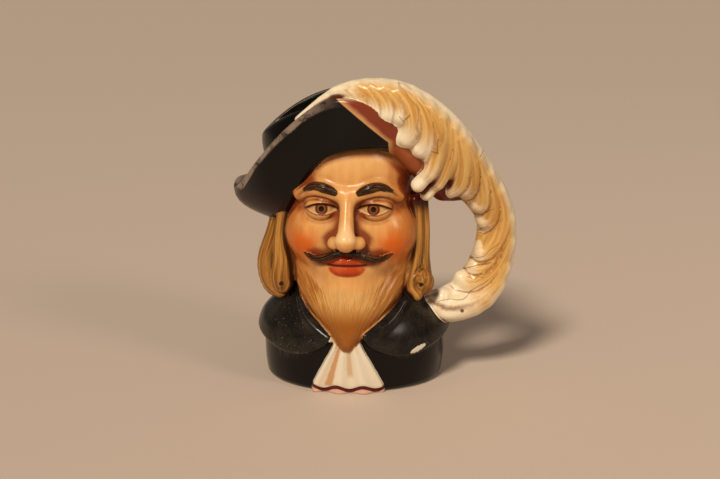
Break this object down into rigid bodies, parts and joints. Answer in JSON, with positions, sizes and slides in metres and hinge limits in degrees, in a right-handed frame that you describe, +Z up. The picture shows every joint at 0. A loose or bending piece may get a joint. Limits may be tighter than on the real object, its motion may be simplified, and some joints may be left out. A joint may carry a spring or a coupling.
{
  "type": "head mug",
  "caption": "Glazed ceramic mug shaped as a bearded man's head and shoulders in a plumed hat, with the plume as its handle.",
  "frame": {"origin": "centre of the foot's underside", "axes": "+Z up, the face looks along -Y, the plume handle is on the +X side"},
  "size_m": [0.1163, 0.0855, 0.123],
  "materials": {
    "glaze": "gloss"
  },
  "bodies": {
    "root": {"head_mug": "glaze"}
  },
  "joints": []
}
